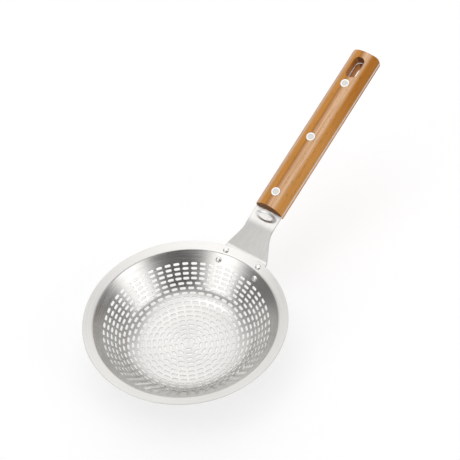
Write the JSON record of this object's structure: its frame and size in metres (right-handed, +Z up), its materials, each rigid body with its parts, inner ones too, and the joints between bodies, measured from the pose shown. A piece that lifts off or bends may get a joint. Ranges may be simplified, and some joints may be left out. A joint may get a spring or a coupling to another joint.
{
  "type": "perforated sifting scoop",
  "caption": "Long-handled sifting scoop: a round perforated steel bowl riveted to a steel strap that runs as full tang between two wooden handle scales with a hanging slot.",
  "frame": {"origin": "centre of the bowl's flat bottom, on the plane it rests on", "axes": "+Z up along the bowl's axis, +X along the handle's line in plan, from the bowl towards the handle's end"},
  "size_m": [0.4284, 0.2, 0.1621],
  "materials": {
    "bowl_steel": "stainless sheet, brushed around the bowl's axis, satin",
    "strap_steel": "stainless strap, brushed lengthwise, satin",
    "wood": "oiled light brown wood, straight grain in golden, tan and orange-brown bands",
    "rivet_steel": "domed rivet heads, polished",
    "pin_steel": "ground flush, satin",
    "washer_steel": "ground flush, bright"
  },
  "bodies": {
    "root": {"bowl": "bowl_steel", "handle_strap": "strap_steel", "upper_scale": "wood", "lower_scale": "wood", "flange_rivet_1": "rivet_steel", "flange_rivet_2": "rivet_steel", "wall_rivet_1": "rivet_steel", "wall_rivet_2": "rivet_steel", "handle_pin_1": "pin_steel", "handle_pin_2": "pin_steel", "handle_pin_3": "pin_steel", "upper_washer_1": "washer_steel", "upper_washer_2": "washer_steel", "upper_washer_3": "washer_steel", "lower_washer_1": "washer_steel", "lower_washer_2": "washer_steel", "lower_washer_3": "washer_steel"}
  },
  "joints": []
}
